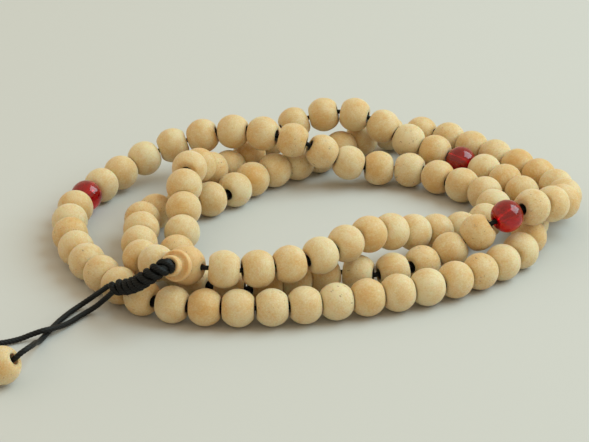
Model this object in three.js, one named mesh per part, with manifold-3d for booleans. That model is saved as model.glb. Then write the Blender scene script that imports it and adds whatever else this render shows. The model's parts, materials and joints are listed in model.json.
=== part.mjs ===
// A mala: 108 wooden counting beads in four quarters, parted by three glass
// marker beads and a guru bead, on one string that ends in a wrapped knot and
// two tails. It lies on a table in overlapping loops. Millimetres, +Z up.

import * as THREE from 'three';
import { mergeVertices } from 'three/addons/utils/BufferGeometryUtils.js';
import Module from 'manifold-3d';

const wasm = await Module();
wasm.setup();

// ---- Driving dimensions ----

const QUARTER = 27;               // counting beads between two markers
const RUN = 4;                    // beads in one joined run, in the last three quarters

const BEAD_RADIUS = 4.1;          // to the corners of the eight-sided bead
const BEAD_LENGTH = 6.5;
const BEAD_SIDES = 8;
const BEAD_FLAT = BEAD_RADIUS * Math.cos(Math.PI / BEAD_SIDES); // axis to a flat side
const BAND = 0.5;                 // how much of a bead's length is its straight middle
const MARKER_RADIUS = 3.8;
const MARKER_LENGTH = 6.2;
const END_FACE = 1.8;             // radius of the flat round a bead's hole
const HOLE = 0.95;                // radius of the hole through a bead
const COLLAR = 1.35;              // radius of the web that joins the beads of a run
const RUN_HOLE_SIDES = 6;         // sides of that web and of the hole through a run

const GURU_RADIUS = 4.3;
const GURU_LENGTH = 8.4;          // what it takes up on the string
const GURU_SIDES = 14;
const GURU_RINGS = 8;
const GURU_HOLLOW = 2.5;          // radius of the room where its three holes meet
const STRING_TURN = 1.5;          // from its centre to where the string turns into the third hole
const THROAT = 1.5;               // radius of its third hole, for both ends of the string

const TOWER_SIDES = 16;
const TOWER_HOLE = 1.4;
const TOWER_FOOT = 4.45;          // from the guru bead's centre, along the third hole
const TOWER_TOP = 9;
const TOWER_DISC = 3.35;          // radii of the tower's disc, waist and collar
const TOWER_WAIST = 1.95;
const TOWER_COLLAR = 2.15;

const CORD = 0.55;                // radius of the string and the tails
const CORD_SIDES = 8;
const SIDE_BY_SIDE = 0.62;        // from the third hole's axis to each end of the string
const KNOT_RADIUS = 1.6;
const KNOT_SIDES = 10;
const KNOT_NECK = 0.3;            // straight start of the knot at the tower
const KNOT_TURN = 1.9;            // radius of its turn after that
const TAIL_STEP = 2.6;            // between two rings of a tail
const WIDE_HOLE = 1.15;           // radius of the hole through an end bead
const STOPPER = 1.3;              // radius of the stopper knot behind an end bead

const LINK_GAP = 0.25;            // least room between neighbours on the string
const SLACK = 0.3;                // most spare string between them, beyond that
const STRAND_GAP = 0.25;          // least room between strands that cross or lie side by side
const KINK = 0.55;                // angle between two beads past which the string springs back
const SPRING = 0.03;              // how strongly it does
const TOUCH = 0.3;                // gap between solids that meet face to face

// ---- Where the string lies ----

// Every second bead's centre, from the guru bead round the four quarters.
const ROUTE = [
  // guru bead, then over its own loop to the inner right-hand turn
  [-29, -39, 9.5], [-13.5, -39.5, 10], [-1, -35.5, 11], [10, -26, 11], [20.5, -16.5, 7.5],
  [31.5, -7.5, 4.5], [39, 4, 4.5],
  // back across the inside of the figure, over two strands, to the first marker
  [33, 15, 4], [22, 23.5, 4], [8, 25, 5], [-5.5, 24.5, 11], [-20.5, 29, 11.5], [-35.5, 30, 8],
  [-47, 22, 4],
  // first marker, the outer left-hand turn and the whole front
  [-54, 9, 4], [-56, -3.5, 4], [-54, -16.5, 4], [-47.5, -29.5, 4], [-38, -39.5, 4],
  [-25, -45, 4], [-10.5, -45.5, 4],
  [3, -42.5, 4], [16, -38.5, 4], [28.5, -32.5, 4], [38.5, -23.5, 4], [46.5, -13, 4],
  [48.5, 4, 4.5], [43.5, 18, 4.5],
  // second marker, over the outer strand at the back, down to the front again
  [33.5, 28, 4.5], [21, 34, 7], [8.5, 40, 11.5], [-6.5, 40.5, 9.5], [-17, 31, 4],
  [-24.5, 20, 5.5], [-30.5, 7, 12],
  [-31, -7, 7.5], [-31, -20, 4], [-26.5, -33, 4], [-12.5, -34, 4], [1, -30, 4],
  [14.5, -27.5, 4.5], [27, -22, 5.5],
  // third marker, the outer right-hand turn and the back
  [38.5, -18.5, 10.5], [50, -9.5, 9.5], [57, 4, 4.5], [50.5, 20.5, 4.5], [40.5, 32.5, 4.5],
  [28.5, 42, 5], [17, 46.5, 4],
  // under two strands and back to the guru bead
  [6.5, 38.5, 4], [-6, 27.5, 4], [-17, 20, 4], [-25, 8.5, 4], [-37.5, 2, 4.5],
  [-38.5, -13, 6.5], [-39, -27.5, 6.5],
];
const SETTLE_PASSES = 300;

// Which way the guru bead's third hole and the tower point.
const OUT = new THREE.Vector3(-0.342, -0.848, 0.404).normalize();

// The wrapped knot's centre line past its first turn, and the two tails after it.
const KNOT_REST = [[-36.8, -47.8, 12], [-39, -46, 9.8], [-41.5, -44, 8.1], [-44.2, -42.4, 7.3]];
const TAIL_A = [
  [-44.9, -41.3, 7], [-46.2, -40.2, 5.6], [-47.7, -38.9, 3.9], [-49.5, -38, 2.1],
  [-51.5, -38.4, 0.8], [-53.3, -41, 0.6], [-55.1, -44.6, 0.6], [-56.8, -48.9, 0.6],
  [-58, -52.7, 0.7], [-58.5, -56.4, 1.8], [-58.6, -60, 3.6], [-58.4, -63.6, 5.4],
  [-58.3, -67, 6.9], [-59, -69.9, 7.7], [-60.4, -71.2, 7.2],
];
const TAIL_B = [
  [-44.2, -42.5, 6], [-45.2, -41.5, 4.6], [-46.4, -40.6, 3.1], [-47.9, -40.2, 1.6],
  [-49.6, -40.8, 0.7], [-51.3, -43, 0.6], [-53, -45.5, 0.6], [-54.6, -48, 1],
  [-56.3, -50.4, 1.7], [-58.1, -51.7, 1.9], [-60.2, -52.1, 1.3], [-62.5, -52.9, 0.7],
  [-64.6, -53.9, 0.6], [-67, -54.9, 0.7], [-69.5, -55.9, 1.2], [-72, -56.8, 2.3],
  [-74.4, -57.6, 3.4],
];
const END_BEAD_A = { centre: [-64.3, -70.6, 4.2], axis: [0.8, -0.2, 0.56] };
const END_BEAD_B = { centre: [-80, -59.4, 3.9], axis: [0.95, 0.31, 0] };

// ---- Materials ----

const WOOD = new THREE.MeshStandardMaterial({ color: 0xe0cfa6, roughness: 0.7, metalness: 0 });
const GLASS = new THREE.MeshStandardMaterial({ color: 0x8a0f12, roughness: 0.1, metalness: 0 });
const BLACK = new THREE.MeshStandardMaterial({ color: 0x151515, roughness: 0.8, metalness: 0 });

// ---- Helpers ----

const UP = new THREE.Vector3(0, 0, 1);

function point([x, y, z]) {
  return new THREE.Vector3(x, y, z);
}

// A point at a distance from another, along a direction.
function ahead(from, direction, distance) {
  return from.clone().addScaledVector(direction, distance);
}

function toSolid(geometry) {
  const bare = geometry.clone();
  bare.deleteAttribute('normal');
  bare.deleteAttribute('uv');
  const merged = mergeVertices(bare, 1e-4);
  const corners = merged.index.array;
  const triangles = [];
  for (let i = 0; i < corners.length; i += 3) {
    const [a, b, c] = corners.slice(i, i + 3);
    if (a !== b && b !== c && c !== a) triangles.push(a, b, c);
  }
  return new wasm.Manifold(new wasm.Mesh({
    numProp: 3,
    vertProperties: new Float32Array(merged.attributes.position.array),
    triVerts: new Uint32Array(triangles),
  }));
}

function toGeometry(solid) {
  const mesh = solid.getMesh();
  const geometry = new THREE.BufferGeometry();
  geometry.setAttribute('position', new THREE.BufferAttribute(mesh.vertProperties, 3));
  geometry.setIndex(new THREE.BufferAttribute(mesh.triVerts, 1));
  return geometry;
}

// Turns an object so that its Y axis points along the axis given and one of its
// flat sides faces straight down.
function lay(object, centre, axis) {
  const side = new THREE.Vector3().crossVectors(axis, UP).normalize();
  const top = new THREE.Vector3().crossVectors(side, axis);
  object.quaternion.setFromRotationMatrix(new THREE.Matrix4().makeBasis(side, axis, top));
  object.position.copy(centre);
  object.updateMatrix();
  return object;
}

// A turned piece: radius and height of each corner, from the bottom up.
function turned(profile, sides) {
  const corners = profile.map(([radius, height]) => new THREE.Vector2(radius, height));
  const halfSide = Math.PI / sides;
  return new THREE.LatheGeometry(corners, sides, halfSide, 2 * Math.PI);
}

// A line of straight stretches, with a ring of the sweep exactly on each joint.
class JointedPath extends THREE.Curve {
  constructor(joints) {
    super();
    this.joints = joints;
  }

  getPoint(share, target = new THREE.Vector3()) {
    const last = this.joints.length - 1;
    return target.copy(this.joints[Math.round(share * last)]);
  }

  getPointAt(share, target) {
    return this.getPoint(share, target);
  }

  getTangentAt(share, target = new THREE.Vector3()) {
    const last = this.joints.length - 1;
    const place = Math.round(share * last);
    const here = this.joints[place];
    const arrive = here.clone().sub(this.joints[Math.max(place - 1, 0)]).normalize();
    const leave = this.joints[Math.min(place + 1, last)].clone().sub(here).normalize();
    return target.copy(arrive).add(leave).normalize();
  }
}

function sweep(joints, radius, sides) {
  const section = new THREE.Shape();
  for (let i = 0; i < sides; i += 1) {
    const angle = (2 * Math.PI * i) / sides;
    const x = radius * Math.cos(angle);
    const y = radius * Math.sin(angle);
    if (i === 0) section.moveTo(x, y);
    else section.lineTo(x, y);
  }
  section.closePath();
  return new THREE.ExtrudeGeometry(section, {
    steps: joints.length - 1,
    bevelEnabled: false,
    extrudePath: new JointedPath(joints),
  });
}

// ---- Settling the beads on their string ----

const markerAt = [1, 2, 3].map((quarter) => quarter * (QUARTER + 1));
const kinds = [];
for (let i = 0; i < 2 * ROUTE.length; i += 1) {
  if (i === 0) kinds.push({ radius: GURU_RADIUS, length: GURU_LENGTH, floor: GURU_RADIUS });
  else if (markerAt.includes(i)) {
    const floor = MARKER_RADIUS * Math.cos(Math.PI / BEAD_SIDES);
    kinds.push({ radius: MARKER_RADIUS, length: MARKER_LENGTH, floor });
  } else kinds.push({ radius: BEAD_RADIUS, length: BEAD_LENGTH, floor: BEAD_FLAT });
}
const count = kinds.length;

function neighbour(i, step) {
  return (i + step + count) % count;
}

// joints[i] is where the string bends, between bead i and the next one.
const centres = kinds.map((_, i) => {
  if (i % 2 === 0) return point(ROUTE[i / 2]);
  const [a, b, c, d] = [-3, -1, 1, 3].map((step) => point(ROUTE[neighbour(i, step) / 2]));
  return b.add(c).multiplyScalar(9 / 16).addScaledVector(a.add(d), -1 / 16);
});
const joints = centres.map((centre, i) => centre.clone().lerp(centres[neighbour(i, 1)], 0.5));

// Each bead's place between its two joints: it needs more room where the string bends.
function beadPlaces() {
  const links = joints.map((joint, i) => joint.clone().sub(joints[neighbour(i, -1)]));
  const rooms = links.map((link, i) => {
    const bend = Math.min(link.angleTo(links[neighbour(i, 1)]), Math.PI / 3);
    return LINK_GAP / 2 + END_FACE * Math.tan(bend / 2);
  });
  return links.map((link, i) => {
    const room = rooms[neighbour(i, -1)];
    const spare = link.length() - kinds[i].length - room - rooms[i];
    const axis = link.clone().normalize();
    const fromJoint = kinds[i].length / 2 + room + spare / 2;
    return { axis, spare, centre: ahead(joints[neighbour(i, -1)], axis, fromJoint) };
  });
}

// Keeps neighbours on the string between touching and a little slack apart, and
// strands that cross or lie side by side clear of each other.
function settle(places) {
  const moves = joints.map(() => new THREE.Vector3());
  places.forEach(({ axis, spare }, i) => {
    const stretch = THREE.MathUtils.clamp(spare, 0, SLACK) - spare;
    moves[neighbour(i, -1)].addScaledVector(axis, -stretch / 4);
    moves[i].addScaledVector(axis, stretch / 4);
  });
  for (let i = 0; i < count; i += 1) {
    for (let j = i + 2; j < count; j += 1) {
      const between = places[j].centre.clone().sub(places[i].centre);
      const overlap = kinds[i].radius + kinds[j].radius + STRAND_GAP - between.length();
      if (overlap > 0 && neighbour(j, 1) !== i) {
        between.setLength(overlap / 4);
        for (const end of [neighbour(i, -1), i]) moves[end].sub(between);
        for (const end of [neighbour(j, -1), j]) moves[end].add(between);
      }
    }
  }
  joints.forEach((joint, i) => {
    if (places[i].axis.angleTo(places[neighbour(i, 1)].axis) < KINK) return;
    const ends = [neighbour(i, -1), neighbour(i, 1)];
    const straighten = joints[ends[0]].clone().lerp(joints[ends[1]], 0.5).sub(joint);
    moves[i].addScaledVector(straighten, SPRING);
    for (const end of ends) moves[end].addScaledVector(straighten, -SPRING / 2);
  });
  joints.forEach((joint, i) => {
    joint.add(moves[i]);
    joint.z = Math.max(joint.z, kinds[i].floor, kinds[neighbour(i, 1)].floor);
  });
}

for (let pass = 0; pass < SETTLE_PASSES; pass += 1) settle(beadPlaces());
const beads = beadPlaces();

// ---- The pieces ----

const mala = new THREE.Group();

function addMesh(name, geometry, material) {
  const mesh = new THREE.Mesh(geometry, material.clone());
  mesh.name = name;
  mala.add(mesh);
  return mesh;
}

function barrel(radius, length) {
  const half = length / 2;
  return [[END_FACE, -half], [radius, -BAND * half], [radius, BAND * half], [END_FACE, half]];
}

function boredBead(radius, length, hole) {
  const outer = barrel(radius, length);
  const profile = [[hole, -length / 2], ...outer, [hole, length / 2], [hole, -length / 2]];
  return turned(profile, BEAD_SIDES);
}

function beadRun(first, last) {
  const plain = [[0, -BEAD_LENGTH / 2], ...barrel(BEAD_RADIUS, BEAD_LENGTH), [0, BEAD_LENGTH / 2]];
  const web = [];
  let solid = null;
  for (let i = first; i <= last; i += 1) {
    const { centre, axis } = beads[i];
    const stand = lay(new THREE.Object3D(), centre, axis);
    const bead = toSolid(turned(plain, BEAD_SIDES).applyMatrix4(stand.matrix));
    solid = solid ? solid.add(bead) : bead;
    web.push(centre);
    if (i < last) web.push(joints[i]);
  }
  const start = beads[first];
  const end = beads[last];
  const bore = [
    ahead(start.centre, start.axis, -BEAD_LENGTH),
    ...joints.slice(first, last),
    ahead(end.centre, end.axis, BEAD_LENGTH),
  ];
  const joined = solid.add(toSolid(sweep(web, COLLAR, RUN_HOLE_SIDES)));
  return toGeometry(joined.subtract(toSolid(sweep(bore, HOLE, RUN_HOLE_SIDES))));
}

function twoDigits(number) {
  return String(number).padStart(2, '0');
}

// The first quarter's beads turn one by one; the other quarters are joined runs.
for (let i = 1; i <= QUARTER; i += 1) {
  const bead = boredBead(BEAD_RADIUS, BEAD_LENGTH, HOLE);
  const { centre, axis } = beads[i];
  lay(addMesh(`bead_${twoDigits(i)}`, bead, WOOD), centre, axis);
}
for (const [quarter, marker] of markerAt.entries()) {
  const { centre, axis } = beads[marker];
  const bead = boredBead(MARKER_RADIUS, MARKER_LENGTH, HOLE);
  lay(addMesh(`marker_bead_${quarter + 1}`, bead, GLASS), centre, axis);
  for (let first = 1; first <= QUARTER; first += RUN) {
    const last = Math.min(first + RUN - 1, QUARTER);
    const name = `beads_q${quarter + 2}_${twoDigits(first)}_to_${twoDigits(last)}`;
    addMesh(name, beadRun(marker + first, marker + last), WOOD);
  }
}

// Guru bead: a ball with a hole at each side and a third one, which meet inside.
const guru = beads[0].centre;
const stringOut = joints[0].clone().sub(guru).normalize();
const stringBack = joints[count - 1].clone().sub(guru).normalize();

function ball(centre, radius, sides, rings) {
  const arc = [];
  for (let i = 0; i <= rings; i += 1) {
    const angle = (Math.PI * i) / rings;
    arc.push([radius * Math.sin(angle), -radius * Math.cos(angle)]);
  }
  const stand = lay(new THREE.Object3D(), centre, OUT);
  return toSolid(turned(arc, sides).applyMatrix4(stand.matrix));
}

function drill(direction, radius) {
  return toSolid(sweep([guru, ahead(guru, direction, 2 * GURU_RADIUS)], radius, CORD_SIDES));
}

addMesh('guru_bead', toGeometry(
  ball(guru, GURU_RADIUS, GURU_SIDES, GURU_RINGS)
    .subtract(ball(guru, GURU_HOLLOW, CORD_SIDES, CORD_SIDES / 2))
    .subtract(drill(stringOut, HOLE))
    .subtract(drill(stringBack, HOLE))
    .subtract(drill(OUT, THROAT)),
), WOOD);

// Tower: a wide disc, a waist and a collar turned in one piece round its hole.
const TOWER_PROFILE = [
  [TOWER_HOLE, TOWER_FOOT], [2.4, TOWER_FOOT], [TOWER_DISC, 5], [TOWER_DISC, 5.7], [2.7, 6.3],
  [TOWER_WAIST, 6.7], [TOWER_WAIST, 7.3], [TOWER_COLLAR, 7.7], [TOWER_COLLAR, 8.5],
  [1.9, TOWER_TOP], [TOWER_HOLE, TOWER_TOP], [TOWER_HOLE, TOWER_FOOT],
];
lay(addMesh('guru_tower', turned(TOWER_PROFILE, TOWER_SIDES), WOOD), guru, OUT);

// String: out of the tower, round all the beads and back to the tower.
const apart = stringOut.clone().sub(stringBack);
apart.addScaledVector(OUT, -apart.dot(OUT)).normalize();

function stringEnd(sideHole, side) {
  const inHollow = ahead(guru, sideHole, STRING_TURN);
  const inThroat = ahead(ahead(guru, OUT, STRING_TURN), apart, side * SIDE_BY_SIDE);
  return [inHollow, inThroat, ahead(inThroat, OUT, TOWER_TOP - STRING_TURN)];
}

addMesh('main_cord', sweep([
  ...stringEnd(stringOut, 1).reverse(),
  ...joints,
  ...stringEnd(stringBack, -1),
], CORD, CORD_SIDES), BLACK);

// Wrapped knot: leaves the tower straight, turns down and lies along the beads.
const knotRoot = ahead(guru, OUT, TOWER_TOP + TOUCH);
const knotBend = ahead(knotRoot, OUT, KNOT_NECK);
const downhill = point(KNOT_REST[0]).sub(knotBend);
downhill.addScaledVector(OUT, -downhill.dot(OUT)).normalize();
const knotTurn = [0, 30, 60, 90].map((degrees) => {
  const turn = THREE.MathUtils.degToRad(degrees);
  const bent = ahead(knotBend, OUT, KNOT_TURN * Math.sin(turn));
  return ahead(bent, downhill, KNOT_TURN * (1 - Math.cos(turn)));
});
const knotLine = [knotRoot, ...knotTurn, ...KNOT_REST.map(point)];
addMesh('wrapped_knot', sweep(knotLine, KNOT_RADIUS, KNOT_SIDES), BLACK);

// A tail, the wide-holed bead on it and the stopper knot that keeps the bead on.
function addTail(letter, route, { centre, axis }) {
  const middle = point(centre);
  const towards = point(axis).normalize();
  const bead = boredBead(BEAD_RADIUS, BEAD_LENGTH, WIDE_HOLE);
  lay(addMesh(`end_bead_${letter}`, bead, WOOD), middle, towards);
  const stopper = ahead(middle, towards, -(BEAD_LENGTH / 2 + TOUCH + STOPPER));
  const line = new THREE.CatmullRomCurve3([
    ...route.map(point),
    ahead(middle, towards, BEAD_LENGTH / 2),
    middle,
    stopper,
  ], false, 'centripetal');
  const steps = Math.round(line.getLength() / TAIL_STEP);
  const tail = toSolid(sweep(line.getSpacedPoints(steps), CORD, CORD_SIDES));
  const knot = ball(stopper, STOPPER, CORD_SIDES, CORD_SIDES / 2);
  addMesh(`tail_cord_${letter}`, toGeometry(tail.add(knot)), BLACK);
}

addTail('a', TAIL_A, END_BEAD_A);
addTail('b', TAIL_B, END_BEAD_B);

// ---- The frame: the origin is under the middle of the beads, on the table ----

const onTails = ['tail_cord_a', 'tail_cord_b', 'end_bead_a', 'end_bead_b'];
const body = new THREE.Box3();
mala.updateMatrixWorld(true);
for (const mesh of mala.children) {
  if (!onTails.includes(mesh.name)) body.expandByObject(mesh, true);
}
const middle = body.getCenter(new THREE.Vector3());
mala.position.set(-middle.x, -middle.y, -body.min.z);

export default mala;
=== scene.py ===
"""A mala of 108 wooden beads lying on a table in overlapping loops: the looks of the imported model.

Lengths in the constants are millimetres; MM turns them into the frame's metres.
"""

import json
import math
import random

import bmesh
import bpy
import numpy as np
from mathutils import Matrix, Vector, noise


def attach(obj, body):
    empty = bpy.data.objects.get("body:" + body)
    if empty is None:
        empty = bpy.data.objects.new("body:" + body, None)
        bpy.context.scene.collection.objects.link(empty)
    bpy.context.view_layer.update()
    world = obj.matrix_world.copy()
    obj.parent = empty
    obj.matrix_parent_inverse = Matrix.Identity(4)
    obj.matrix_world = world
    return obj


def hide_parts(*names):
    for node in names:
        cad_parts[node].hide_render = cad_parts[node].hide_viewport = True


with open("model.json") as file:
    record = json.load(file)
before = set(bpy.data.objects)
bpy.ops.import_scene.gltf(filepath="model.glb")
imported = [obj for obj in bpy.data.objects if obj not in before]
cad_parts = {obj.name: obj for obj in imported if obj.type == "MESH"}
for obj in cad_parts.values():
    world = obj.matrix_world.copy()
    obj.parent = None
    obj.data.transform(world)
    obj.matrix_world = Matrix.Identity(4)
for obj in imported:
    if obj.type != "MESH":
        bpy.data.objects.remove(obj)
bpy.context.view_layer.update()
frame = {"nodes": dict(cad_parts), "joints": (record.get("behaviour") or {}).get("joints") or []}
MM = 0.001

# ---- Sizes that the CAD part also has ----

QUARTERS = 4
QUARTER = 27                # counting beads between two markers
RUN = 4                     # beads in one CAD run of the last three quarters
TOWER_TOP = 9.0             # from the guru bead's centre
CORD = 0.55                 # the string's radius
CORD_SIDES = 8              # corners of one ring of the CAD string
OWN_RINGS = 3               # rings of each end of the string, inside the guru bead and tower

# The string's route past the tower, at the CAD part's own points: the knot's line and the two tails.
KNOT_REST = [(-36.8, -47.8, 12), (-39, -46, 9.8), (-41.5, -44, 8.1), (-44.2, -42.4, 7.3)]
TAIL_A = [
    (-44.9, -41.3, 7), (-46.2, -40.2, 5.6), (-47.7, -38.9, 3.9), (-49.5, -38, 2.1),
    (-51.5, -38.4, 0.8), (-53.3, -41, 0.6), (-55.1, -44.6, 0.6), (-56.8, -48.9, 0.6),
    (-58, -52.7, 0.7), (-58.5, -56.4, 1.8), (-58.6, -60, 3.6), (-58.4, -63.6, 5.4),
    (-58.3, -67, 6.9), (-59, -69.9, 7.7), (-60.4, -71.2, 7.2),
]
TAIL_B = [
    (-44.2, -42.5, 6), (-45.2, -41.5, 4.6), (-46.4, -40.6, 3.1), (-47.9, -40.2, 1.6),
    (-49.6, -40.8, 0.7), (-51.3, -43, 0.6), (-53, -45.5, 0.6), (-54.6, -48, 1),
    (-56.3, -50.4, 1.7), (-58.1, -51.7, 1.9), (-60.2, -52.1, 1.3), (-62.5, -52.9, 0.7),
    (-64.6, -53.9, 0.6), (-67, -54.9, 0.7), (-69.5, -55.9, 1.2), (-72, -56.8, 2.3),
    (-74.4, -57.6, 3.4),
]
END_BEAD_A = (-64.3, -70.6, 4.2)

# ---- Sizes of the finer shapes ----

BEAD_RADIUS = 4.03
BEAD_HALF = (3.05, 3.6)     # half of a counting bead's length, at least and at most
BEAD_HOLE = 1.2
MARKER_RADIUS = 3.6
MARKER_HALF = 3.3
MARKER_HOLE = 0.75
END_RADIUS = 3.95
END_HALF = 3.3
END_HOLE = 1.2
END_FACE = 2.3              # radius that the string's bends leave room for at a bead's end
FACE_GAP = 0.03             # between the ends of two beads that touch
MOUTH = 0.28                # easing of a bead's edge at its hole
EASE = 0.3                  # easing where a bead's flat end meets its round side
GURU_RADIUS = 4.25
GURU_THROAT = (1.5, -1.0)   # radius of the guru bead's upper hole, and how far down it goes
SIDE_HOLE = 0.8             # radius of its two lower holes
SIDE_FLAT = (3, 4.05)       # radius of the flat round each, and its distance from the centre
TOWER_HOLE = 1.35
TAIL_CORD = 0.6             # the free tails are looser than the tight string
TAIL_PITCH = 3.2            # length of one turn of a tail's strands
KNOT_TURN = 1.9             # radius of the bend where the knot leaves the tower
KNOT_WRAP = (3.2, 4.2)      # length of one turn of its two wrapping cords, at the tower and at the tails
KNOT_CORE = 1.0
WRAP_SPREAD = 1.05          # from the knot's line to the middle of a wrapping cord
WRAP_RADIUS = 0.8
STOPPER_CORD = 0.5
STOPPER_SIZE = 0.3
FLOOR_DROP = 0.2            # the table is this far below the CAD beads' flat sides

# ---- Small faults of the wooden beads ----

DENT_WIDTH = (0.5, 0.9)
DENT_DEPTH = (0.06, 0.14)
DENTED = 0.3                # share of the counting beads with a dent
RADIUS_SPREAD = (-0.04, 0.03)
TONES = (0.2, 0.16)         # mean and spread of a bead's warmth
PITTED = (0.0, 0.1, 0.25, 0.9)


# ---- Reading the frame ----

def spin_of(node):
    """Centre and axis of the piece that turns about its own hole."""
    for joint in frame["joints"]:
        if joint["name"] == node + "_spin":
            return Vector(joint["pos_m"]), Vector(joint["axis"]).normalized()
    raise ValueError(node)


guru, OUT = spin_of("guru_tower")
# The route's points are in a frame of their own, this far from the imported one.
SHIFT = spin_of("end_bead_a")[0] - Vector(END_BEAD_A) * MM


def routed(points):
    return [Vector(p) * MM + SHIFT for p in points]


SAME_CORNER = 1e7           # corners that agree to a ten-millionth of a metre are one


def string_rings():
    """Centres of the rings of the CAD string's tube, from one end to the other."""
    mesh = frame["nodes"]["main_cord"].data
    places, same = {}, []
    for vertex in mesh.vertices:
        key = tuple(round(c * SAME_CORNER) for c in vertex.co)
        same.append(places.setdefault(key, len(places)))
    corners = [Vector(key) / SAME_CORNER for key in places]
    near = [set() for _ in corners]
    for edge in mesh.edges:
        a, b = (same[v] for v in edge.vertices)
        if a != b:
            near[a].add(b)
            near[b].add(a)
    top = guru + OUT * TOWER_TOP * MM
    offsets = [corner - top for corner in corners]
    # The string's two ends lie side by side in the tower's top: the corners level with it.
    lids = {i for i, off in enumerate(offsets) if abs(off.dot(OUT)) < 0.02 * MM and off.length < 1.5 * MM}
    ring = {min(lids)}
    while len(ring) < CORD_SIDES:
        ring |= {b for a in ring for b in near[a] if b in lids}
    seen, centres = set(), []
    while ring:
        centres.append(sum((corners[i] for i in ring), Vector()) / len(ring))
        seen |= ring
        ring = {b for a in ring for b in near[a]} - seen
    return centres


rings = string_rings()
joints = rings[OWN_RINGS:-OWN_RINGS]
COUNT = len(joints)
if COUNT != QUARTERS * (QUARTER + 1):
    raise ValueError(f"the string has {COUNT} joints")
first_bead = spin_of("bead_01")[0]
if (joints[0] - first_bead).length > (joints[-1] - first_bead).length:
    joints.reverse()
    rings.reverse()


def bead_place(i):
    """Centre, axis and half the room along the string of its i-th piece, the guru bead being number 0."""
    links = [joints[(i + k) % COUNT] - joints[(i + k - 1) % COUNT] for k in (-1, 0, 1)]
    rooms = [END_FACE * MM * math.tan(min(a.angle(b), math.pi / 3) / 2) for a, b in zip(links, links[1:])]
    axis = links[1].normalized()
    middle = (joints[i - 1] + joints[i]) / 2
    return middle + axis * (rooms[0] - rooms[1]) / 2, axis, (links[1].length - sum(rooms)) / 2 / MM


# ---- Camera ----

PICTURE_WIDTH = 589
LENS_PIXELS = 2446.95       # focal length, in widths of one of the picture's points
SENSOR = 36.0
CAMERA_AT = (-6, -498.2, 240)
CAMERA_TO = (-6, 5, 0)

camera = bpy.data.objects.new("camera", bpy.data.cameras.new("camera"))
bpy.context.scene.collection.objects.link(camera)
bpy.context.scene.camera = camera
camera.data.sensor_width = SENSOR
camera.data.lens = LENS_PIXELS / PICTURE_WIDTH * SENSOR
camera.data.clip_start = 0.01
camera.location = routed([CAMERA_AT])[0]
camera.rotation_euler = (routed([CAMERA_TO])[0] - camera.location).to_track_quat("-Z", "Y").to_euler()


# ---- Mesh helpers ----

def add_object(name, mesh, material, body, replaced, centre=(0, 0, 0)):
    piece = bpy.data.objects.new(name, mesh)
    bpy.context.scene.collection.objects.link(piece)
    piece.location = centre
    mesh.materials.append(material)
    bpy.context.view_layer.update()
    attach(piece, body)
    if replaced:
        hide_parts(*replaced)
    return piece


def finished(mesh, sharp_degrees=40):
    """Faces out, smooth but for the sharp edges."""
    shape = bmesh.new()
    shape.from_mesh(mesh)
    bmesh.ops.recalc_face_normals(shape, faces=shape.faces)
    shape.to_mesh(mesh)
    shape.free()
    mesh.polygons.foreach_set("use_smooth", [True] * len(mesh.polygons))
    mesh.set_sharp_from_angle(angle=math.radians(sharp_degrees))
    return mesh


def grid_faces(rows, columns, rows_close):
    """Quads between rows of points that close on themselves."""
    faces = []
    for r in range(rows if rows_close else rows - 1):
        below, above = r * columns, (r + 1) % rows * columns
        for c in range(columns):
            d = (c + 1) % columns
            faces.append((below + c, below + d, above + d, above + c))
    return faces


def turned_points(profile, segments):
    """A closed outline of (radius, height) turned about Z, as an array of points in millimetres."""
    outline = np.array(profile)
    angle = np.linspace(0, 2 * math.pi, segments, endpoint=False)
    x = np.outer(outline[:, 0], np.cos(angle))
    y = np.outer(outline[:, 0], np.sin(angle))
    z = np.repeat(outline[:, 1:], segments, axis=1)
    return np.stack([x, y, z], axis=-1).reshape(-1, 3)


def facing(centre, axis, roll=0.0):
    """Puts local Z along the axis at that centre."""
    turn = Vector((0, 0, 1)).rotation_difference(axis).to_matrix().to_4x4()
    return Matrix.Translation(centre) @ turn @ Matrix.Rotation(roll, 4, "Z")


def bezier(a, corner, b, steps):
    """Points of a rounded corner, without its two ends."""
    a, corner, b = (np.array(p, float) for p in (a, corner, b))
    shares = np.linspace(0, 1, steps + 2)[1:-1]
    return [tuple((1 - t) ** 2 * a + 2 * t * (1 - t) * corner + t * t * b) for t in shares]


DENSE = 20                  # points worked out between two given ones


def smooth_line(points, step):
    """Points about a step apart on a centripetal Catmull-Rom curve through those given."""
    points = [2 * points[0] - points[1], *points, 2 * points[-1] - points[-2]]
    dense = []
    for a, b, c, d in zip(points, points[1:], points[2:], points[3:]):
        ta, tb, tc = (math.sqrt((q - p).length) for p, q in ((a, b), (b, c), (c, d)))
        tangent_b = ((b - a) / ta - (c - a) / (ta + tb) + (c - b) / tb) * tb
        tangent_c = ((c - b) / tb - (d - b) / (tb + tc) + (d - c) / tc) * tb
        for i in range(DENSE):
            t = i / DENSE
            dense.append(
                (2 * t**3 - 3 * t**2 + 1) * b + (t**3 - 2 * t**2 + t) * tangent_b
                + (3 * t**2 - 2 * t**3) * c + (t**3 - t**2) * tangent_c
            )
    dense.append(points[-2])
    return evenly(dense, step)


def length_of(line):
    return sum((b - a).length for a, b in zip(line, line[1:]))


def evenly(line, step):
    """The same line with its points evenly spaced."""
    along = np.cumsum([0.0] + [(b - a).length for a, b in zip(line, line[1:])])
    count = max(2, round(along[-1] / step) + 1)
    wanted = np.linspace(0, along[-1], count)
    columns = [np.interp(wanted, along, [p[k] for p in line]) for k in range(3)]
    return [Vector(p) for p in zip(*columns)]


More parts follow.
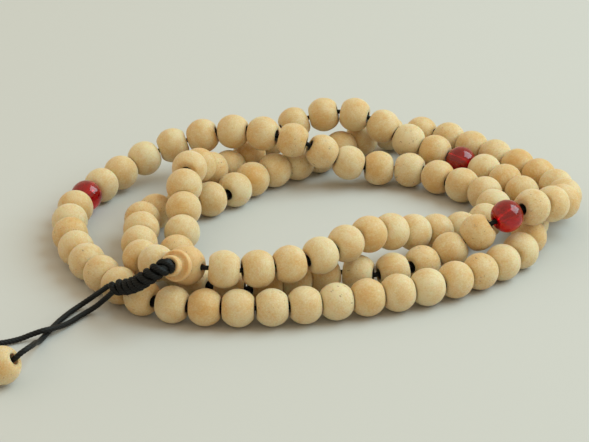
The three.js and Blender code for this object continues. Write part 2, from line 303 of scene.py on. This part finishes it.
def carried_frames(line):
    """(tangent, normal, binormal) at each point, turned no more than the line bends."""
    tangents = []
    for i in range(len(line)):
        tangents.append((line[min(i + 1, len(line) - 1)] - line[max(i - 1, 0)]).normalized())
    normal = tangents[0].orthogonal().normalized()
    frames = []
    for i, tangent in enumerate(tangents):
        if i:
            normal = tangents[i - 1].rotation_difference(tangent) @ normal
        normal = (normal - tangent * normal.dot(tangent)).normalized()
        frames.append((tangent, normal, tangent.cross(normal)))
    return frames


def rope_parts(line, radii, strands, pitch, groove, sides):
    """Points, faces and crests (how far out, 0 to 1) of a tube whose strands wind round it, with closed ends.

    radii are one per point; pitch is the length of one turn of a strand; both are in metres.
    """
    points, crests, travelled = [], [], 0.0
    for i, (place, (_, normal, binormal)) in enumerate(zip(line, carried_frames(line))):
        if i:
            travelled += (place - line[i - 1]).length
        twist = 2 * math.pi * travelled / pitch
        for side in range(sides):
            angle = 2 * math.pi * side / sides
            lobe = abs(math.cos(strands / 2 * (angle - twist)))
            crests.append(lobe)
            reach = radii[i] * (1 - groove * (1 - lobe))
            points.append(place + normal * reach * math.cos(angle) + binormal * reach * math.sin(angle))
    faces = grid_faces(len(line), sides, rows_close=False)
    for first, place in ((0, line[0]), ((len(line) - 1) * sides, line[-1])):
        points.append(place)
        crests.append(0.5)
        tip = len(points) - 1
        faces += [(first + side, first + (side + 1) % sides, tip) for side in range(sides)]
    return points, faces, crests


def point_values(mesh, name, values):
    kind, field = ("FLOAT", "value") if np.ndim(values) == 1 else ("FLOAT_VECTOR", "vector")
    mesh.attributes.new(name, kind, "POINT").data.foreach_set(field, np.array(values).ravel())


def join_parts(name, parts):
    points, faces, crests = [], [], []
    for more_points, more_faces, more_crests in parts:
        offset = len(points)
        points += more_points
        faces += [tuple(offset + corner for corner in face) for face in more_faces]
        crests += more_crests
    mesh = bpy.data.meshes.new(name)
    mesh.from_pydata(points, [], faces)
    point_values(mesh, "crest", crests)
    return finished(mesh, 180)


def rounded_ends(line, radius):
    """One radius per point, closing round at both ends."""
    total, travelled, radii = length_of(line), 0.0, []
    for i, place in enumerate(line):
        if i:
            travelled += (place - line[i - 1]).length
        left = min(travelled, total - travelled, radius)
        radii.append(max(radius * math.sqrt(max(0, 1 - (1 - left / radius) ** 2)), radius * 0.1))
    return radii


# ---- Material helpers ----

def colour(red, green, blue):
    """A display colour of 0 to 255, as the renderer's linear one."""
    linear = [c / 255 / 12.92 if c <= 10 else ((c / 255 + 0.055) / 1.055) ** 2.4 for c in (red, green, blue)]
    return (*linear, 1.0)


def add_node(tree, kind, settings=None, **inputs):
    """A node with its settings and its inputs: a number or colour, or a socket to link."""
    made = tree.nodes.new("ShaderNode" + kind)
    for key, value in (settings or {}).items():
        setattr(made, key, value)
    for key, value in inputs.items():
        name = int(key[1:]) if key[0] == "i" and key[1:].isdigit() else key.replace("_", " ")
        if isinstance(value, bpy.types.NodeSocket):
            tree.links.new(value, made.inputs[name])
        else:
            made.inputs[name].default_value = value
    return made


def new_material(name):
    material = bpy.data.materials.new(name)
    material.use_nodes = True
    tree = material.node_tree
    return material, tree, tree.nodes["Principled BSDF"]


def attribute(tree, name, output):
    return add_node(tree, "Attribute", {"attribute_name": name}).outputs[output]


def stretched_noise(tree, at, scale, stretch, **settings):
    """Noise drawn out along Z, the way the wood's fibres run."""
    turned = add_node(tree, "Mapping", Vector=at, Scale=(scale, scale, scale / stretch))
    return add_node(tree, "TexNoise", Vector=turned.outputs["Vector"], Scale=1.0, **settings).outputs["Fac"]


def maths(tree, operation, a, b, clamp=False):
    return add_node(tree, "Math", {"operation": operation, "use_clamp": clamp}, i0=a, i1=b).outputs[0]


def ranged(tree, value, low, high, to_low=0.0, to_high=1.0):
    settings = {"From_Min": low, "From_Max": high, "To_Min": to_low, "To_Max": to_high}
    return add_node(tree, "MapRange", Value=value, **settings).outputs["Result"]


def mixed(tree, share, first, second):
    return add_node(tree, "MixRGB", Fac=share, Color1=first, Color2=second).outputs["Color"]


# ---- Materials ----

def wood_material(name, pale, warm, deep):
    """Sanded pale wood: a tone for each bead, soft warm clouds, fine speckle, sparse open pores, and painted
    shade at the holes.
    """
    material, tree, shader = new_material(name)
    at = attribute(tree, "grain_at", "Vector")
    tone = attribute(tree, "tone", "Fac")
    pitted = attribute(tree, "pitted", "Fac")
    bands = stretched_noise(tree, at, 0.55, 7, Detail=2.0, Distortion=0.6)
    fibres = stretched_noise(tree, at, 4.5, 9, Detail=4.0, Roughness=0.7)
    cloud = stretched_noise(tree, at, 0.24, 1, Detail=2.0)
    speckle = stretched_noise(tree, at, 3.2, 1.3, Detail=5.0, Roughness=0.75)
    pores = ranged(tree, stretched_noise(tree, at, 2.4, 2.2, Detail=1.0), 0.69, 0.74)
    pores = maths(tree, "MULTIPLY", pores, pitted)
    warmth = maths(tree, "ADD", ranged(tree, bands, 0.35, 0.7, 0.0, 0.22), tone)
    warmth = maths(tree, "ADD", warmth, ranged(tree, cloud, 0.35, 0.7, -0.15, 0.4))
    warmth = maths(tree, "ADD", warmth, ranged(tree, speckle, 0.3, 0.75, -0.45, 0.5))
    warmth = maths(tree, "ADD", warmth, ranged(tree, fibres, 0.4, 0.75, 0.0, 0.2), clamp=True)
    shade = mixed(tree, warmth, pale, warm)
    shade = mixed(tree, maths(tree, "MULTIPLY", pores, 0.6), shade, deep)
    # painted shade: the hole and the end round its mouth darkened to near black-brown, where shade falls
    # between beads
    shade = mixed(tree, attribute(tree, "painted_hole_shade", "Fac"), shade, colour(38, 22, 12))
    tree.links.new(shade, shader.inputs["Base Color"])
    tree.links.new(ranged(tree, speckle, 0.3, 0.8, 0.5, 0.68), shader.inputs["Roughness"])
    nap, ridges = ranged(tree, speckle, 0.3, 0.8, 0.0, 0.4), ranged(tree, fibres, 0.3, 0.8, 0.0, 0.3)
    relief = maths(tree, "SUBTRACT", maths(tree, "ADD", nap, ridges), pores)
    bump = add_node(tree, "Bump", Strength=0.7, Distance=0.00009, Height=relief)
    tree.links.new(bump.outputs["Normal"], shader.inputs["Normal"])
    shader.inputs["Specular IOR Level"].default_value = 0.4
    shader.inputs["Subsurface Weight"].default_value = 0.4
    shader.inputs["Subsurface Radius"].default_value = (1.0, 0.42, 0.16)
    shader.inputs["Subsurface Scale"].default_value = 0.002
    shader.inputs["Sheen Weight"].default_value = 0.15
    shader.inputs["Sheen Roughness"].default_value = 0.8
    return material


def cord_material(name, thread_scale, roughness):
    """Black waxed cord: fine threads across each strand and painted grey highlights on its crests."""
    material, tree, shader = new_material(name)
    at = add_node(tree, "TexCoord").outputs["Object"]
    threads = add_node(tree, "TexNoise", Vector=at, Scale=thread_scale, Detail=4.0, Roughness=0.7)
    threads = threads.outputs["Fac"]
    lint = add_node(tree, "TexNoise", Vector=at, Scale=thread_scale / 5, Detail=2.0).outputs["Fac"]
    crest = attribute(tree, "crest", "Fac")
    shade = mixed(tree, ranged(tree, threads, 0.4, 0.75), colour(3, 3, 4), colour(11, 12, 14))
    # painted highlight: the outer crest of each strand lightened to grey, broken up by the threads
    painted_crest_highlight = maths(tree, "MULTIPLY", ranged(tree, crest, 0.6, 1.0), ranged(tree, threads, 0.35, 0.7))
    shade = mixed(tree, maths(tree, "MULTIPLY", painted_crest_highlight, 0.75), shade, colour(52, 55, 56))
    shade = mixed(tree, ranged(tree, lint, 0.55, 0.8, 0.0, 0.3), shade, colour(26, 28, 30))
    tree.links.new(shade, shader.inputs["Base Color"])
    tree.links.new(ranged(tree, threads, 0.3, 0.8, roughness, roughness + 0.2), shader.inputs["Roughness"])
    bump = add_node(tree, "Bump", Strength=0.7, Distance=0.00008, Height=threads)
    tree.links.new(bump.outputs["Normal"], shader.inputs["Normal"])
    shader.inputs["Specular IOR Level"].default_value = 0.22
    return material


def glass_material(name):
    """Deep ruby glass with faint cloudy threads inside."""
    material, tree, shader = new_material(name)
    at = attribute(tree, "grain_at", "Vector")
    cloud = stretched_noise(tree, at, 0.7, 3, Detail=3.0, Distortion=1.2)
    shade = mixed(tree, ranged(tree, cloud, 0.35, 0.7), colour(172, 0, 14), colour(212, 0, 22))
    tree.links.new(shade, shader.inputs["Base Color"])
    shader.inputs["Roughness"].default_value = 0.05
    shader.inputs["IOR"].default_value = 1.5
    shader.inputs["Transmission Weight"].default_value = 0.7
    shader.inputs["Coat Weight"].default_value = 0.15
    shader.inputs["Coat Roughness"].default_value = 0.1
    return material


PORE_COLOUR = colour(104, 64, 30)
wood = wood_material("pale_wood", colour(213, 196, 155), colour(200, 155, 83), PORE_COLOUR)
guru_wood = wood_material("turned_wood", colour(210, 182, 132), colour(199, 147, 73), PORE_COLOUR)
ruby = glass_material("ruby_glass")
string_black = cord_material("string_black", 5200, 0.5)
knot_black = cord_material("knot_black", 3600, 0.36)
tail_black = cord_material("tail_black", 4200, 0.45)


# ---- Beads ----

def bead_profile(radius, half, hole):
    """Half a circle cut flat at the hole, with eased edges: one closed line of (radius, height)."""
    face = math.sqrt(radius**2 - half**2)
    start = math.asin((half - EASE) / radius)
    flat = face - EASE
    top = [(hole, half - MOUTH), *bezier((hole, half - MOUTH), (hole, half), (hole + MOUTH, half), 3)]
    top += [(hole + MOUTH, half), (flat, half)]
    top += bezier((flat, half), (face, half), (radius * math.cos(start), half - EASE), 4)
    angles = np.linspace(start, -start, 23)
    round_part = [(radius * math.cos(a), radius * math.sin(a)) for a in angles]
    bottom = [(r, -z) for r, z in reversed(top)]
    return [*top, *round_part, *bottom, (hole, 0.0)]


SEGMENTS = 56
FLAT_END = 0.9              # a bead's end stays true this far from its hole, and its side wavers
HOLE_SHADE_REACH = 0.25          # how far the painted shade of the hole spreads over the end


def bead_mesh(name, profile, axis, chance, hole, wobble=0.05, dents=0, hole_shade=1.0):
    """A turned bead with the small faults of a real one, its own piece of grain, and painted shade in and
    around its hole.
    """
    points = turned_points(profile, SEGMENTS)
    origin = Vector([chance.uniform(-50, 50) for _ in range(3)])
    pressed = [Vector([chance.gauss(0, 1) for _ in range(3)]).normalized() for _ in range(dents)]
    depths = [(chance.uniform(*DENT_WIDTH), chance.uniform(*DENT_DEPTH)) for _ in range(dents)]
    moved, painted_hole_shade = [], []
    for x, y, z in points:
        place = Vector((x, y, z))
        reach = place.length
        push = wobble * (noise.noise(place * 0.3 + origin) + 0.3 * noise.noise(place * 0.9 + origin))
        for direction, (width, depth) in zip(pressed, depths):
            aside = (place - direction * reach).length
            push -= depth * math.exp(-((aside / width) ** 2))
        from_hole = math.hypot(x, y) - hole
        share = min(1.0, max(0.0, (from_hole - FLAT_END) / 1.2))
        moved.append(place * (1 + share * push / reach))
        # painted shade, full inside the hole and fading out over the end near it
        painted_hole_shade.append(hole_shade * min(1.0, max(0.0, 1 - from_hole / HOLE_SHADE_REACH)))
    turn = facing(Vector(), axis, chance.uniform(0, 2 * math.pi))
    mesh = bpy.data.meshes.new(name)
    mesh.from_pydata([turn @ v * MM for v in moved], [], grid_faces(len(profile), SEGMENTS, rows_close=True))
    fibre = Matrix.Rotation(chance.uniform(0, math.pi), 3, Vector([chance.gauss(0, 1) for _ in range(3)]))
    point_values(mesh, "grain_at", [fibre @ (v + origin) for v in moved])
    point_values(mesh, "painted_hole_shade", painted_hole_shade)
    point_values(mesh, "tone", np.full(len(moved), chance.gauss(*TONES)))
    point_values(mesh, "pitted", np.full(len(moved), chance.choice(PITTED)))
    return finished(mesh)


for number in range(1, COUNT):
    quarter, within = divmod(number, QUARTER + 1)
    chance = random.Random(1000 + number)
    centre, axis, room = bead_place(number)
    if within == 0:
        node = f"marker_bead_{quarter}"
        outline = bead_profile(MARKER_RADIUS, min(MARKER_HALF, room - FACE_GAP), MARKER_HOLE)
        mesh = bead_mesh(node, outline, axis, chance, MARKER_HOLE, wobble=0.03, hole_shade=0.0)
        add_object(f"ruby_marker_{quarter}", mesh, ruby, node, [node], centre)
        continue
    if quarter == 0:
        node = body = f"bead_{within:02d}"
    else:
        first = (within - 1) // RUN * RUN + 1
        node = f"beads_q{quarter + 1}_{first:02d}_to_{min(first + RUN - 1, QUARTER):02d}"
        body = "strand"
    half = min(max(room - FACE_GAP, BEAD_HALF[0]), BEAD_HALF[1])
    outline = bead_profile(BEAD_RADIUS + chance.uniform(*RADIUS_SPREAD), half, BEAD_HOLE)
    mesh = bead_mesh(node, outline, axis, chance, BEAD_HOLE, dents=int(chance.random() < DENTED))
    add_object(f"counting_bead_{quarter + 1}_{within:02d}", mesh, wood, body, [node], centre)


# ---- Guru bead and tower ----

def cutter(start, direction, radius, length):
    """A plain rod used to drill or flatten."""
    shape = bmesh.new()
    bmesh.ops.create_cone(shape, cap_ends=True, segments=48, radius1=radius * MM, radius2=radius * MM,
                          depth=length * MM)
    mesh = bpy.data.meshes.new("cutter")
    shape.to_mesh(mesh)
    shape.free()
    rod = bpy.data.objects.new("cutter", mesh)
    bpy.context.scene.collection.objects.link(rod)
    rod.matrix_world = facing(start + direction * length / 2 * MM, direction)
    return rod


def drilled(piece, rods):
    for rod in rods:
        cut = piece.modifiers.new("cut", "BOOLEAN")
        cut.operation = "DIFFERENCE"
        cut.solver = "EXACT"
        cut.object = rod
    bpy.context.view_layer.update()
    mesh = bpy.data.meshes.new_from_object(piece.evaluated_get(bpy.context.evaluated_depsgraph_get()))
    for rod in rods:
        bpy.data.objects.remove(rod)
    piece.modifiers.clear()
    return mesh


def add_guru():
    """The guru bead: a round bead with a hole for the tower and two holes that meet it from the sides."""
    throat, deep = GURU_THROAT
    wall, centre_line = throat - 0.1, 0.001
    angles = np.linspace(math.acos(throat / GURU_RADIUS), -math.pi / 2, 40)
    arc = [(GURU_RADIUS * math.cos(a), GURU_RADIUS * math.sin(a)) for a in angles]
    top = arc[0][1]
    lip = bezier((wall, top - 0.5), (wall, top), arc[0], 2)
    outline = [(centre_line, deep), (wall, deep), (wall, top - 0.5), *lip, *arc[:-1]]
    outline.append((centre_line, -GURU_RADIUS))
    mesh = bead_mesh("guru", outline, OUT, random.Random(7), throat, wobble=0.04, hole_shade=0.6)
    piece = bpy.data.objects.new("guru", mesh)
    bpy.context.scene.collection.objects.link(piece)
    piece.location = guru
    rods = []
    for mouth in (joints[0], joints[-1]):
        direction = (mouth - guru).normalized()
        rods.append(cutter(guru, direction, SIDE_HOLE, 6))
        rods.append(cutter(guru + direction * SIDE_FLAT[1] * MM, direction, SIDE_FLAT[0], 2))
    made = drilled(piece, rods)
    bpy.data.objects.remove(piece)
    made.materials.clear()
    add_object("guru_bead_turned", finished(made), guru_wood, "strand", ["guru_bead"], guru)


def add_tower():
    """The tower on the guru bead: a rounded disc, a waist and a collar, hollow for the string's two ends."""
    outline = [(TOWER_HOLE, 4.25), (1.9, 4.02), (2.5, 3.85), *bezier((2.5, 3.85), (3.1, 3.8), (3.3, 4.6), 3)]
    outline += [(3.36, 4.8), *bezier((3.36, 4.8), (3.42, 5.85), (2.95, 5.9), 5), (2.85, 5.88)]
    outline += [*bezier((2.85, 5.88), (1.75, 5.7), (1.72, 6.4), 6), (1.72, 6.6), (1.75, 6.95)]
    outline += [*bezier((1.75, 6.95), (2.2, 7.0), (2.2, 7.6), 4), (2.2, 8.3)]
    outline += [*bezier((2.2, 8.3), (2.2, TOWER_TOP), (1.85, TOWER_TOP), 4), (1.8, TOWER_TOP)]
    outline += [(TOWER_HOLE + 0.12, TOWER_TOP), (TOWER_HOLE, TOWER_TOP - 0.15)]
    mesh = bead_mesh("tower", outline, OUT, random.Random(11), TOWER_HOLE, wobble=0.0)
    add_object("guru_tower_turned", mesh, guru_wood, "guru_tower", ["guru_tower"], guru)


add_guru()
add_tower()


# ---- String, knot and tails ----

def add_string():
    """The string through every bead, rounded where it bends between two of them."""
    line = []
    ease = 0.7 * MM
    for before, here, after in zip(rings, rings[1:], rings[2:]):
        into, out = (before - here).normalized(), (after - here).normalized()
        for share in (0.0, 0.25, 0.5, 0.75, 1.0):
            line.append(here + into * ease * (1 - share) ** 2 + out * ease * share**2)
    line = evenly([rings[0], *line, rings[-1]], 0.45 * MM)
    mesh = join_parts("string", [rope_parts(line, [CORD * MM] * len(line), 3, 3 * MM, 0.22, 12)])
    add_object("string_twisted", mesh, string_black, "strand", ["main_cord"])


def knot_line():
    """The middle of the wrapped knot: out of the tower, round a tight bend and down to the tails."""
    root = guru + OUT * (TOWER_TOP - 0.2) * MM
    rest = routed(KNOT_REST)
    bend = root + OUT * 0.7 * MM
    downhill = rest[0] - bend
    downhill = (downhill - OUT * downhill.dot(OUT)).normalized()
    turned = []
    for degrees in (0, 30, 60, 90):
        turn = math.radians(degrees)
        turned.append(bend + (OUT * math.sin(turn) + downhill * (1 - math.cos(turn))) * KNOT_TURN * MM)
    return smooth_line([root, *turned, *rest], 0.12 * MM)


knot = knot_line()


def add_knot():
    """Two cords wrapped side by side round the doubled string."""
    frames = carried_frames(knot)
    total = length_of(knot)
    core = knot[::4]
    parts = [rope_parts(core, rounded_ends(core, KNOT_CORE * MM), 2, 6 * MM, 0.1, 16)]
    for angle in (0, math.pi):
        wrap, travelled = [], 0.0
        for i, (place, (_, normal, binormal)) in enumerate(zip(knot, frames)):
            step = (place - knot[i - 1]).length if i else 0.0
            travelled += step
            share = travelled / total
            turn = (KNOT_WRAP[0] + (KNOT_WRAP[1] - KNOT_WRAP[0]) * share) * MM
            angle += 2 * math.pi * step / turn
            ends = min(1.0, share / 0.05, (1 - share) / 0.05)
            spread = WRAP_SPREAD * (1.04 - 0.1 * share) * (0.5 + 0.5 * ends) * MM
            wrap.append(place + (normal * math.cos(angle) + binormal * math.sin(angle)) * spread)
        wrap = evenly(wrap, 0.16 * MM)
        parts.append(rope_parts(wrap, rounded_ends(wrap, WRAP_RADIUS * MM), 6, -3.0 * MM, 0.34, 48))
    mesh = join_parts("knot", parts)
    add_object("knot_wrapped", mesh, knot_black, "strand", ["wrapped_knot"])


def stopper_line(centre, towards):
    """An overhand knot pulled tight, as a closed line."""
    turn = facing(centre, towards)
    points = []
    for i in range(72):
        t = 2 * math.pi * i / 72
        x = math.sin(t) + 2 * math.sin(2 * t)
        y = math.cos(t) - 2 * math.cos(2 * t)
        z = -math.sin(3 * t)
        points.append(turn @ (Vector((x, y, z * 0.9)) * STOPPER_SIZE * MM))
    return [*points, points[0]]


def add_tail(letter, route):
    """A twisted tail from inside the knot through its end bead to the stopper knot behind it."""
    node = f"end_bead_{letter}"
    middle, towards = spin_of(node)
    outline = bead_profile(END_RADIUS, END_HALF, END_HOLE)
    mesh = bead_mesh(node, outline, towards, random.Random(40 + ord(letter)), END_HOLE, hole_shade=0.12)
    bead = add_object(f"end_bead_round_{letter}", mesh, wood, node, [node], middle)
    free = routed(route)
    into_knot = (knot[-1] - knot[-12]).normalized()
    start = knot[-1] - into_knot * 1.6 * MM + (free[0] - knot[-1]) * 0.3
    mouth = middle + towards * END_HALF * MM
    behind = middle - towards * (END_HALF + 1.3) * MM
    tip = behind - towards * 1.9 * MM
    line = smooth_line([start, *free, mouth, middle, behind, tip], 0.22 * MM)
    radii = rounded_ends(line, TAIL_CORD * MM)
    mesh = join_parts(f"tail_{letter}", [rope_parts(line, radii, 4, TAIL_PITCH * MM, 0.16, 24)])
    name = f"tail_twisted_{letter}"
    cord = add_object(name, mesh, tail_black, "strand", [f"tail_cord_{letter}"])
    tight = stopper_line(behind, towards)
    radii = [STOPPER_CORD * MM] * len(tight)
    mesh = join_parts(f"stopper_{letter}", [rope_parts(tight, radii, 4, TAIL_PITCH * MM, 0.2, 16)])
    stopper = add_object(f"stopper_knot_{letter}", mesh, tail_black, "strand", [])


add_string()
add_knot()
add_tail("a", TAIL_A)
add_tail("b", TAIL_B)


# ---- Floor and light ----

def add_stage():
    """A plain pale table, six metres each way."""
    mesh = bpy.data.meshes.new("floor")
    reach, z = 3.0, -FLOOR_DROP * MM
    corners = [(-reach, -reach, z), (reach, -reach, z), (reach, reach, z), (-reach, reach, z)]
    mesh.from_pydata(corners, [], [(0, 1, 2, 3)])
    material, _, shader = new_material("plaster")
    shader.inputs["Base Color"].default_value = colour(196, 195, 193)
    shader.inputs["Roughness"].default_value = 0.9
    shader.inputs["Specular IOR Level"].default_value = 0.1
    mesh.materials.append(material)
    floor = bpy.data.objects.new("floor", mesh)
    bpy.context.scene.collection.objects.link(floor)


def add_light(name, at, size, power, tint):
    data = bpy.data.lights.new(name, "AREA")
    data.shape = "SQUARE"
    data.size = size
    data.energy = power
    data.color = tint
    light = bpy.data.objects.new(name, data)
    bpy.context.scene.collection.objects.link(light)
    light.location = at
    light.rotation_euler = (-Vector(at)).to_track_quat("-Z", "Y").to_euler()


add_stage()
add_light("window", (0.82, 0.08, 0.8), 1.0, 12.8, (0.66, 0.92, 1.0))
world = bpy.data.worlds.new("room")
bpy.context.scene.world = world
world.use_nodes = True
world.node_tree.nodes["Background"].inputs["Color"].default_value = (1.0, 0.87, 0.64, 1.0)
world.node_tree.nodes["Background"].inputs["Strength"].default_value = 0.78
bpy.context.scene.view_settings.view_transform = "Standard"
